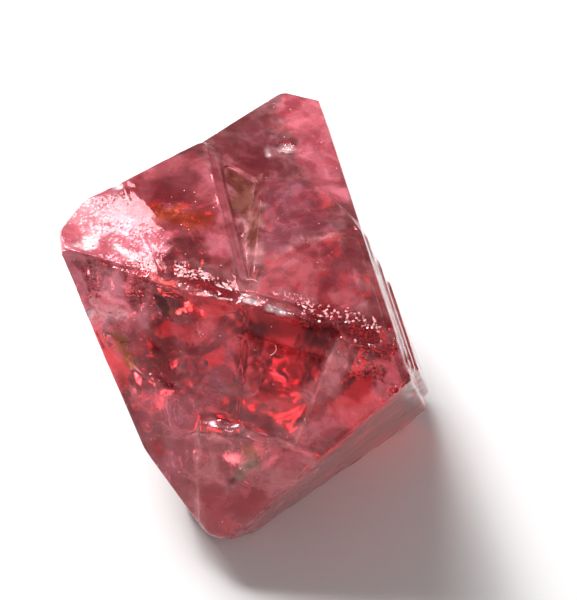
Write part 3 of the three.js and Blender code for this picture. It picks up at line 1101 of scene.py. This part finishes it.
    def near_edges(self, bm: bmesh.types.BMesh) -> dict[int, float]:
        """Finds how close each point is to an outward edge.

        Args:
            bm: The skin.

        Returns:
            From the vertex's number to a closeness from 0 to 1.
        """
        bm.verts.index_update()
        bm.normal_update()
        sharp = [
            edge for edge in bm.edges
            if len(edge.link_faces) == 2 and edge.is_convex and edge.calc_face_angle(0.0) > self.edge_from
        ]
        tree = kdtree.KDTree(2 * len(sharp))
        for number, vertex in enumerate(vertex for edge in sharp for vertex in edge.verts):
            tree.insert(vertex.co, number)
        tree.balance()
        return {
            vertex.index: smooth_step(self.worn_width, 0.0, tree.find(vertex.co)[2]) for vertex in bm.verts
        }

    def etch_pits(self, bm: bmesh.types.BMesh) -> dict[int, float]:
        """Sinks small three-sided pits into the grown faces, all pointing the same way on each face.

        Args:
            bm: The skin.

        Returns:
            From the vertex's number to its depth from 0 to 1.
        """
        draw = random.Random(self.pit_seed)
        depths: dict[int, float] = {}
        for face in Face:
            outward = AXES.direction(face.value)
            flat = [vertex for vertex in bm.verts if vertex.normal.dot(outward) > self.pit_facing]
            if not flat:
                continue
            tree = kdtree.KDTree(len(flat))
            for vertex in flat:
                tree.insert(vertex.co, vertex.index)
            tree.balance()
            sides = [
                AXES.direction(tuple(f if i == axis else -f for i, f in enumerate(face.value)))
                for axis in range(3)
            ]
            inwards = [(side - outward * side.dot(outward)).normalized() for side in sides]
            for _ in range(self.pits_per_face):
                middle = draw.choice(flat).co
                reach = draw.uniform(*self.pit_reach_mm) * MM
                for place, number, _ in tree.find_range(middle, self.pit_search * reach):
                    edge = max(inward.dot(place - middle) for inward in inwards)
                    depth = smooth_step(reach, self.pit_floor * reach, edge)
                    depth *= min(1.0, reach / self.full_pit_reach)
                    depths[number] = max(depths.get(number, 0.0), depth)
        return depths

    def carve(self, bm: bmesh.types.BMesh, worn: dict[int, float]) -> None:
        """Gives the skin its relief: swells, splinters, etch pits, worn edges and worn strips.

        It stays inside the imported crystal's box.

        Args:
            bm: The skin.
            worn: How close each vertex is to an outward edge.
        """
        bm.normal_update()
        pits = self.etch_pits(bm)
        moves = []
        for vertex in bm.verts:
            number, place = vertex.index, vertex.co / MM
            lift = self.swell * (layered(place, self.swell_layers) - self.sunk_by)
            lift -= self.pit_depth * pits.get(number, 0.0)
            lift -= self.edge_wear * worn[number] * (self.even_wear + layered(place, self.wear_layers))
            lift -= self.splintering(place, self.looks[number][CRUMBLE_PLACE])
            moves.append(vertex.normal * lift)
            rubbed = worn[number] * smooth_step(*self.rubbed_span, layered(place, self.rubbed_layers))
            self.blend_look(number, RUBBED.numbers, self.rubbed_share * rubbed)
        for vertex, move in zip(bm.verts, moves):
            vertex.co += move
        for strip in WORN_STRIPS:
            self.cut_strip(bm, strip)
        low, high = CAD_BOX
        for vertex in bm.verts:
            vertex.co = [min(top, max(bottom, at)) for bottom, at, top in zip(low, vertex.co, high)]

    def splintering(self, place: Vector, crumble: float) -> float:
        """Works out how deep a broken place is splintered.

        Args:
            place: The place in mm.
            crumble: How broken it is.

        Returns:
            The depth in metres, 0 where it isn't broken.
        """
        if crumble <= self.splintered_from:
            return 0.0
        shard = noise.voronoi(place * self.shards[0])[0][0]
        chip = noise.voronoi(place * self.chips[0])[0][0]
        broken = self.shards[1] * shard + self.chips[1] * chip
        return self.splinter_depth * (crumble - self.splintered_from) * broken

    def cut_strip(self, bm: bmesh.types.BMesh, strip: Strip) -> None:
        """Cuts a worn strip, facet by facet.

        Args:
            bm: The skin.
            strip: The strip.
        """
        start, end = AXES.point(strip.start), AXES.point(strip.end)
        facing = AXES.direction(strip.facing)
        along = end - start
        groups: dict[int, list[bmesh.types.BMVert]] = {}
        for vertex in bm.verts:
            if segment_distance(vertex.co, start, end) < strip.reach * AXES.half_diagonal:
                share = (vertex.co - start).dot(along) / along.length_squared
                groups.setdefault(int(share * strip.facets), []).append(vertex)
        for group in groups.values():
            heights = [(vertex.co - start).dot(facing) for vertex in group]
            notched = strip.depth == 0.0
            mean, lowered = sum(heights) / len(heights), max(heights) - strip.depth * AXES.half_diagonal
            level = mean if notched else lowered
            cut = {vertex for vertex, height in zip(group, heights) if notched or height > level}
            for vertex in cut:
                vertex.co -= facing * ((vertex.co - start).dot(facing) - level)
                self.blend_look(vertex.index, FLASHING.numbers, self.flash_share)
            for face in {face for vertex in cut for face in vertex.link_faces}:
                face.smooth = not cut.issuperset(face.verts)

    def paint(self, bm: bmesh.types.BMesh) -> None:
        """Writes each point's look on the skin.

        Args:
            bm: The skin.
        """
        layers = [bm.verts.layers.float.new(name) for name in PAINTED]
        tone = bm.verts.layers.float_color.new("tone")
        for vertex in bm.verts:
            look = self.looks[vertex.index]
            vertex[tone] = (*look[:3], 1.0)
            for layer, number in zip(layers, look[3:]):
                vertex[layer] = number

    def dress(self, finish: SpinelFinish) -> bpy.types.Object:
        """Builds, paints and coats the skin.

        Args:
            finish: The crystal's finish.

        Returns:
            The finished piece.
        """
        skin = self.build()
        skin.data.materials.append(finish.material())
        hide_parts(NODE)
        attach(skin, BODY)
        return skin


# How far from the middle a sheet may reach towards each face: a little less than the face itself.
INNER_REACH = {
    Face.TOP: 0.94,
    Face.BASE: 1.06,
    Face.FRONT: 1.0,
    Face.RIGHT: 0.95,
    Face.LEFT: 1.06,
    Face.RIGHT_UNDER: 1.0,
    Face.LEFT_UNDER: 0.86,
    Face.REAR: 0.95,
}


@dataclass(frozen=True)
class Sheet:
    """One wavy sheet inside the crystal: its middle, the way it faces, its radius and its waviness."""

    at: Shares
    facing: Shares
    reach: float
    wave: float
    seed: int
    stretch: float = 1.0
    divisions: ClassVar[int] = 4
    seed_steps: ClassVar[Shares] = (3.7, 1.9, 5.3)
    rim: ClassVar[Layers] = ((1.6, 0.5),)
    swells: ClassVar[Layers] = ((1.7, 1.0),)
    ripples: ClassVar[Layers] = ((4.6, 0.45),)
    least_reach: ClassVar[float] = 0.05
    weld: ClassVar[float] = 1e-7

    def mesh(self, thickness: float) -> bmesh.types.BMesh:
        """Builds the sheet as a thin closed lens, cut off just inside the crystal's faces.

        Args:
            thickness: Its thickness as a share of its radius.

        Returns:
            The lens, in metres.
        """
        bm = bmesh.new()
        bmesh.ops.create_icosphere(bm, subdivisions=self.divisions, radius=1.0)
        offset = offset_of(self.seed, self.seed_steps)
        for vertex in bm.verts:
            flat = Vector((vertex.co.x, vertex.co.y, 0.0))
            edge = 1.0 + layered(flat.normalized(), self.rim, offset=offset)
            height = layered(flat, self.swells, offset=offset) + layered(flat, self.ripples, offset=-offset)
            wave = self.wave * height / max(self.reach, self.least_reach)
            across = vertex.co.x * edge * self.stretch
            vertex.co = Vector((across, vertex.co.y * edge, vertex.co.z * thickness + wave))
        up = AXES.direction(self.facing)
        turn = up.to_track_quat("Z", "Y").to_matrix().to_4x4()
        size = Matrix.Scale(self.reach * AXES.half_diagonal, 4)
        bmesh.ops.transform(bm, matrix=Matrix.Translation(AXES.point(self.at)) @ turn @ size, verts=bm.verts)
        for face, reach in INNER_REACH.items():
            normal = AXES.direction(face.value)
            on_face = AXES.centre + normal * (reach * AXES.half_diagonal / math.sqrt(3))
            everything = [*bm.verts, *bm.edges, *bm.faces]
            bmesh.ops.bisect_plane(
                bm, geom=everything, plane_co=on_face, plane_no=normal, clear_outer=True, dist=self.weld
            )
        bmesh.ops.holes_fill(bm, edges=[edge for edge in bm.edges if edge.is_boundary], sides=0)
        bmesh.ops.triangulate(bm, faces=[face for face in bm.faces if len(face.verts) > 3])
        bmesh.ops.recalc_face_normals(bm, faces=bm.faces)
        return bm


@dataclass
class OpenCracks:
    """The open cracks, thin gaps of air that belong to the skin."""

    thickness: float = 0.012
    tint: Colour = (1.0, 0.9, 0.9)
    cracks: tuple[Sheet, ...] = (
        Sheet((-0.66, 0.12, 0.06), (-1.0, 0.7, 0.2), 0.22, 0.04, 41),
        Sheet((-0.6, 0.0, 0.16), (-0.4, 1.0, 0.7), 0.2, 0.04, 42),
        Sheet((-0.7, 0.03, 0.12), (-0.2, -0.4, 1.0), 0.18, 0.04, 43),
        Sheet((-0.5, 0.16, 0.1), (-1.0, -0.3, 0.8), 0.2, 0.05, 44),
        Sheet((-0.35, -0.2, 0.3), (0.2, -0.8, 1.0), 0.28, 0.06, 45),
        Sheet((-0.2, 0.25, 0.2), (0.6, 0.5, 1.0), 0.3, 0.06, 46),
        Sheet((0.0, 0.1, 0.5), (1.0, 0.2, 0.4), 0.26, 0.06, 47),
        Sheet((-0.15, -0.45, 0.2), (0.3, -1.0, 0.2), 0.3, 0.06, 48),
        Sheet((0.1, 0.3, 0.0), (0.5, 0.6, -0.8), 0.32, 0.06, 49),
        Sheet((0.2, -0.2, 0.1), (0.9, -0.4, -0.2), 0.35, 0.06, 50),
        Sheet((-0.099, -0.039, 0.187), (-0.77, 0.22, 0.61), 0.065, 0.006, 51, 1.5),
        Sheet((-0.013, -0.038, 0.241), (-0.77, 0.22, 0.61), 0.075, 0.006, 56, 1.6),
        Sheet((0.049, -0.104, 0.237), (-0.77, 0.22, 0.61), 0.065, 0.006, 57, 1.5),
        Sheet((0.05, -0.163, 0.178), (-0.77, 0.22, 0.61), 0.055, 0.006, 58, 1.6),
        Sheet((-0.226, -0.395, 0.353), (-0.77, 0.22, 0.61), 0.02, 0.0012, 59, 4.0),
        Sheet((-0.146, -0.392, 0.436), (-0.77, 0.22, 0.61), 0.017, 0.0012, 60, 4.0),
        Sheet((-0.09, -0.39, 0.5), (-0.77, 0.22, 0.61), 0.012, 0.0012, 61, 3.0),
        Sheet((-0.385, 0.065, 0.03), (-0.77, 0.22, 0.61), 0.13, 0.007, 52),
        Sheet((-0.5, -0.2, 0.1), (-0.3, 0.5, 1.0), 0.2, 0.05, 53),
        Sheet((-0.35, -0.35, 0.05), (-1.0, 0.4, 0.3), 0.22, 0.06, 54),
        Sheet((-0.42, 0.3, 0.0), (-0.5, 1.0, -0.2), 0.2, 0.05, 55),
    )

    def mesh(self) -> bmesh.types.BMesh:
        """Builds the cracks, with their faces towards the air inside them.

        Returns:
            The cracks, in metres.
        """
        whole = bmesh.new()
        for crack in self.cracks:
            add_mesh(whole, crack.mesh(self.thickness))
        bmesh.ops.reverse_faces(whole, faces=whole.faces)
        for face in whole.faces:
            face.smooth = True
        clear = whole.verts.layers.float.new("clear")
        tone = whole.verts.layers.float_color.new("tone")
        for vertex in whole.verts:
            vertex[clear] = 1.0
            vertex[tone] = (*self.tint, 1.0)
        return whole


@dataclass(frozen=True)
class GrainFinish:
    """The dark, nearly black red of the grains that grew into the crystal."""

    tint: Colour = (0.05, 0.008, 0.005)
    bright: Colour = (0.2, 0.15, 0.12)
    speck_scale: float = 90.0
    speck_span: Span = (0.56, 0.66)

    def material(self) -> bpy.types.Material:
        """Builds the material.

        Returns:
            The material.
        """
        bench = Bench("dark_grain")
        specks = bench.range(bench.grain(bench.crystal_place(), self.speck_scale), *self.speck_span)
        colour = bench.blend(specks, self.tint, self.bright)
        bench.surface(Base_Color=colour, Roughness=0.5, Specular_IOR_Level=0.15)
        return bench.material


@dataclass(frozen=True)
class Grain:
    """One grain: its place, its half sizes in mm along a, b and c, and its seed."""

    at: Shares
    size: Shares
    seed: int
    divisions: ClassVar[int] = 4
    seed_steps: ClassVar[Shares] = (2.3, 4.1, 1.7)
    unevenness: ClassVar[float] = 0.45
    bumps: ClassVar[Layers] = ((1.4, 1.0), (4.0, 0.5))

    def mesh(self) -> bmesh.types.BMesh:
        """Builds the grain as a ball with an uneven surface.

        Returns:
            The grain, in metres.
        """
        bm = bmesh.new()
        bmesh.ops.create_icosphere(bm, subdivisions=self.divisions, radius=1.0)
        offset = offset_of(self.seed, self.seed_steps)
        for vertex in bm.verts:
            vertex.co *= 1.0 + self.unevenness * layered(vertex.co, self.bumps, offset=offset)
        size = Matrix.Diagonal((*self.size, 1.0)) * MM
        size[3][3] = 1.0
        place = Matrix.Translation(AXES.point(self.at)) @ AXES.turn.to_4x4() @ size
        bmesh.ops.transform(bm, matrix=place, verts=bm.verts)
        return bm


@dataclass
class DarkGrains:
    """The dark grains just under the front face, as one piece."""

    grains: tuple[Grain, ...] = (
        Grain((-0.626, -0.04, 0.335), (0.11, 0.09, 0.11), 1),
        Grain((-0.606, -0.07, 0.335), (0.09, 0.11, 0.09), 2),
        Grain((-0.642, -0.064, 0.307), (0.09, 0.1, 0.09), 9),
        Grain((-0.108, -0.543, 0.406), (0.06, 0.05, 0.06), 3),
        Grain((-0.114, -0.571, 0.374), (0.05, 0.06, 0.05), 4),
        Grain((-0.122, -0.614, 0.322), (0.04, 0.07, 0.04), 5),
        Grain((-0.191, -0.607, 0.267), (0.04, 0.05, 0.04), 6),
        Grain((-0.1, -0.64, 0.31), (0.03, 0.03, 0.03), 7),
        Grain((-0.41, -0.21, 0.37), (0.05, 0.05, 0.03), 8),
    )

    def dress(self) -> bpy.types.Object:
        """Builds the grains and coats them.

        Returns:
            The finished piece.
        """
        whole = bmesh.new()
        for grain in self.grains:
            add_mesh(whole, grain.mesh())
        grains = piece_of(whole, "dark_grains", GrainFinish().material())
        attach(grains, BODY)
        return grains


@dataclass(frozen=True)
class LintFinish:
    """Pale lint, which lets some of the red through."""

    tint: Colour = (0.95, 0.75, 0.76)

    def material(self) -> bpy.types.Material:
        """Builds the material.

        Returns:
            The material.
        """
        bench = Bench("lint")
        bench.surface(Base_Color=(*self.tint, 1.0), Roughness=0.6, Transmission_Weight=0.3)
        return bench.material


@dataclass(frozen=True)
class Fibre:
    """One curled fibre on a face: its place as in a Field, its radius, and its arc in degrees."""

    face: Face
    along: float
    up: float
    radius: float
    start: float
    sweep: float


@dataclass
class LintFibres:
    """The curled fibres that lie on the faces near the ridge."""

    half_width: float = 0.007 * MM
    lift: float = 0.002 * MM
    sides: int = 6
    steps: int = 28
    waver: float = 0.3
    waver_scale: float = 4.0
    face_reach: dict[Face, float] = field(default_factory=lambda: {Face.TOP: 1.1, Face.FRONT: 1.05})
    fibres: tuple[Fibre, ...] = (
        Fibre(Face.TOP, 0.075, -0.345, 0.19 * MM, 200.0, 290.0),
        Fibre(Face.TOP, 0.2, -0.275, 0.09 * MM, 330.0, 200.0),
        Fibre(Face.TOP, 0.39, -0.21, 0.08 * MM, 10.0, 170.0),
        Fibre(Face.TOP, -0.12, -0.2, 0.22 * MM, 20.0, 110.0),
        Fibre(Face.FRONT, 0.2, 0.3, 0.16 * MM, 300.0, 100.0),
        Fibre(Face.FRONT, 0.42, 0.05, 0.13 * MM, 180.0, 150.0),
    )

    def fibre(self, plan: Fibre) -> bmesh.types.BMesh:
        """Bends one fibre.

        Args:
            plan: Its place and curl.

        Returns:
            The fibre, in metres.
        """
        bm = bmesh.new()
        turned = Matrix.Translation((plan.radius, 0.0, 0.0)) @ Matrix.Rotation(math.radians(90), 4, "X")
        circle = bmesh.ops.create_circle(
            bm, cap_ends=False, segments=self.sides, radius=self.half_width, matrix=turned
        )
        edges = list({edge for vertex in circle["verts"] for edge in vertex.link_edges})
        bmesh.ops.spin(
            bm, geom=[*circle["verts"], *edges], axis=(0, 0, 1), cent=(0, 0, 0),
            angle=math.radians(plan.sweep), steps=self.steps, use_merge=False,
        )
        bmesh.ops.holes_fill(bm, edges=[edge for edge in bm.edges if edge.is_boundary], sides=0)
        bmesh.ops.recalc_face_normals(bm, faces=bm.faces)
        for vertex in bm.verts:
            spot = Vector((vertex.co.x, vertex.co.y, plan.along * MM)) / MM * self.waver_scale
            vertex.co.x += self.waver * plan.radius * noise.noise(spot)
        outward = AXES.direction(plan.face.value)
        along, up = face_frame(plan.face)
        on_face = self.face_reach[plan.face] * AXES.half_diagonal / math.sqrt(3)
        height = on_face + self.half_width + self.lift
        at = AXES.centre + outward * height + (along * plan.along + up * plan.up) * AXES.half_diagonal
        frame_turn = Matrix((along, up, outward)).transposed().to_4x4()
        spun = Matrix.Rotation(math.radians(plan.start), 4, "Z")
        bmesh.ops.transform(bm, matrix=Matrix.Translation(at) @ frame_turn @ spun, verts=bm.verts)
        return bm

    def dress(self) -> bpy.types.Object:
        """Builds the fibres and coats them.

        Returns:
            The finished piece.
        """
        whole = bmesh.new()
        for plan in self.fibres:
            add_mesh(whole, self.fibre(plan))
        lint = piece_of(whole, "lint_fibres", LintFinish().material())
        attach(lint, BODY)
        return lint


@dataclass
class Floor:
    """The sheet of white paper that the crystal lies on."""

    half_width: float = 1.5
    segments: int = 4

    def build(self) -> None:
        """Builds the floor."""
        bm = bmesh.new()
        bmesh.ops.create_grid(bm, x_segments=self.segments, y_segments=self.segments, size=self.half_width)
        mesh = bpy.data.meshes.new("paper_floor")
        bm.to_mesh(mesh)
        bm.free()
        mesh.materials.append(PaperFinish().material())
        floor = placed("paper_floor", mesh)


@dataclass
class Lamp:
    """One soft square light that points at the crystal."""

    name: str
    azimuth: float
    elevation: float
    distance: float
    width: float
    watts: float

    def build(self) -> None:
        """Builds the light."""
        around, up = math.radians(self.azimuth), math.radians(self.elevation)
        away = Vector((math.sin(around) * math.cos(up), -math.cos(around) * math.cos(up), math.sin(up)))
        light = bpy.data.lights.new(self.name, "AREA")
        light.energy = self.watts
        light.size = self.width
        lamp = placed(self.name, light)
        lamp.location = AXES.centre + away * self.distance
        lamp.rotation_euler = away.to_track_quat("Z", "Y").to_euler()


@dataclass
class Studio:
    """The pale surroundings and the soft light from the upper left."""

    sky: Colour = (1.0, 0.985, 0.98)
    sky_strength: float = 0.215
    light_bounces: int = 11
    brightest_bounce: float = 6.0
    lamps: list[Lamp] = field(
        default_factory=lambda: [
            Lamp("key_light", azimuth=-118.0, elevation=54.0, distance=0.05, width=0.029, watts=0.036),
            Lamp("spark_light", azimuth=-95.0, elevation=64.0, distance=0.055, width=0.009, watts=0.011),
            Lamp("fill_light", azimuth=60.0, elevation=35.0, distance=0.05, width=0.035, watts=0.004),
        ]
    )

    def build(self) -> None:
        """Builds the surroundings and the lamps."""
        world = bpy.data.worlds.new("white_room")
        world.use_nodes = True
        background = world.node_tree.nodes["Background"]
        background.inputs["Color"].default_value = (*self.sky, 1.0)
        background.inputs["Strength"].default_value = self.sky_strength
        bpy.context.scene.world = world
        for lamp in self.lamps:
            lamp.build()
        paths = bpy.context.scene.cycles
        paths.sample_clamp_indirect = self.brightest_bounce
        paths.max_bounces = self.light_bounces
        paths.transmission_bounces = self.light_bounces
        view = bpy.context.scene.view_settings
        view.view_transform = "Standard"
        view.look = "None"


@dataclass
class PhotoCamera:
    """The close-up camera, above the front face and turned a little to the right and anticlockwise.

    focal_pixels, picture_height and how far the crystal is off the picture's middle are in pixels.
    """

    back: Shares = (0.1953, -0.6325, 0.7495)
    up: Shares = (-0.276, 0.698, 0.6608)
    half_diagonals_away: float = 6.0
    focal_pixels: float = 1425.6
    picture_height: float = 600.0
    sensor: float = 36.0
    crystal_left_of_middle: float = 34.0
    crystal_below_middle: float = 30.4
    nearest: float = 1 * MM
    farthest: float = 10.0

    def build(self) -> None:
        """Builds the camera and makes it the scene's own."""
        back, up = Vector(self.back).normalized(), Vector(self.up).normalized()
        right = up.cross(back)
        away = self.half_diagonals_away * AXES.half_diagonal
        data = bpy.data.cameras.new("close_up")
        data.sensor_width = self.sensor
        data.lens = self.focal_pixels / self.picture_height * self.sensor
        data.clip_start, data.clip_end = self.nearest, self.farthest
        camera = placed("close_up", data)
        place = AXES.centre + back * away
        aim = AXES.centre + (
            right * self.crystal_left_of_middle + up * self.crystal_below_middle
        ) * (away / self.focal_pixels)
        out = (place - aim).normalized()
        side = up.cross(out).normalized()
        camera.matrix_world = Matrix((side, out.cross(side), out)).transposed().to_4x4()
        camera.location = place
        bpy.context.scene.camera = camera


def main() -> None:
    """Builds the camera, the room and the crystal, in that order."""
    PhotoCamera().build()
    Studio().build()
    Floor().build()
    skin = CrystalSkin().dress(SpinelFinish())
    grains = DarkGrains().dress()
    lint = LintFibres().dress()
    for piece in (skin, grains, lint):
        log.info("%s: %d faces", piece.name, len(piece.data.polygons))


if __name__ == "__main__":
    logging.basicConfig(level=logging.INFO, format="%(message)s")
    main()
